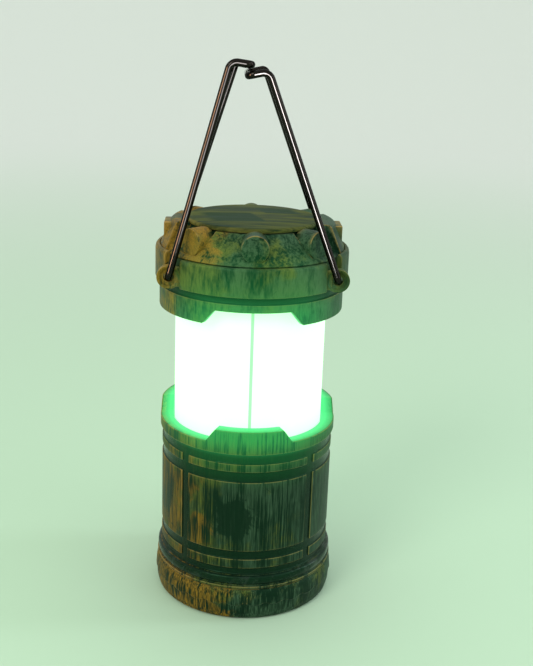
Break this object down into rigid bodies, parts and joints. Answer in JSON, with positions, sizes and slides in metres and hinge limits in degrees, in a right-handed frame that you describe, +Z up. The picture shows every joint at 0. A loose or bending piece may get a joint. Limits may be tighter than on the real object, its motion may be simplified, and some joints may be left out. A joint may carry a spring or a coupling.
{
  "type": "pop-up camping lantern",
  "caption": "Pull-up camping lantern: crenellated round body, frosted tube under a stepped cap, and two folding wire bails that meet above it.",
  "frame": {"origin": "centre of the circle the base stands on", "axes": "+Z up along the lantern axis, -Y the front, +X to the right of someone facing the front"},
  "size_m": [0.0886, 0.0878, 0.2529],
  "materials": {
    "cap_paint": "moulded plastic with dry-brushed camouflage paint",
    "dome_paint": "moulded plastic with dry-brushed camouflage paint",
    "disc_paint": "moulded plastic with streaked camouflage paint",
    "body_paint": "moulded plastic with dry-brushed camouflage paint",
    "cover_paint": "moulded plastic with dry-brushed camouflage paint",
    "handle_steel": "polished dark plated steel wire",
    "diffuser": "translucent frosted plastic, lit from inside",
    "foot_plastic": "plain white moulding",
    "white_plastic": "glossy white moulding",
    "core_plastic": "plain black moulding",
    "cell_wrap": "plain shrink wrap over the cell",
    "contact_metal": "nickel-plated spring steel",
    "screw_steel": "zinc-plated",
    "board": "solder mask",
    "led_board": "white-masked board",
    "phosphor": "phosphor-filled silicone",
    "reed_glass": "clear tube",
    "magnet": "nickel-plated magnet"
  },
  "bodies": {
    "base": {"body_shell": "body_paint", "battery_core": "core_plastic", "circuit_board": "board", "deck_reflector": "white_plastic", "reed_switch": "reed_glass", "led_tower": "white_plastic", "tower_cap": "white_plastic", "battery_1": "cell_wrap", "battery_2": "cell_wrap", "battery_3": "cell_wrap", "contact_top_1": "contact_metal", "contact_top_2": "contact_metal", "contact_top_3": "contact_metal", "core_screw_1": "screw_steel", "core_screw_2": "screw_steel", "core_screw_3": "screw_steel", "led_board_1": "led_board", "led_board_2": "led_board", "led_board_3": "led_board", "led_strip_1": "phosphor", "led_strip_2": "phosphor", "led_strip_3": "phosphor"},
    "cover": {"base_cover": "cover_paint", "contact_carrier": "core_plastic", "battery_spring_1": "contact_metal", "battery_spring_2": "contact_metal", "battery_spring_3": "contact_metal"},
    "cap": {"cap_band": "cap_paint", "cap_dome": "dome_paint", "top_disc": "disc_paint", "cap_reflector": "white_plastic", "diffuser": "diffuser", "diffuser_foot": "foot_plastic", "switch_magnet": "magnet"},
    "bail_left": {"handle_left": "handle_steel"},
    "bail_right": {"handle_right": "handle_steel"}
  },
  "joints": [
    {"name": "cap_slide", "type": "slide", "parent": "base", "child": "cap", "axis": [0, 0, 1], "range_m": [-0.0541, 0]},
    {"name": "cover_twist", "type": "hinge", "parent": "base", "child": "cover", "pos_m": [0, 0, 0], "axis": [0, 0, 1], "range_deg": [0, 30]},
    {"name": "handle_left_fold", "type": "hinge", "parent": "cap", "child": "bail_left", "pos_m": [-0.03695, 0, 0.1601], "axis": [0, -1, 0], "range_deg": [0, 190]},
    {"name": "handle_right_fold", "type": "hinge", "parent": "cap", "child": "bail_right", "pos_m": [0.03695, 0, 0.1601], "axis": [0, 1, 0], "range_deg": [0, 195]}
  ]
}
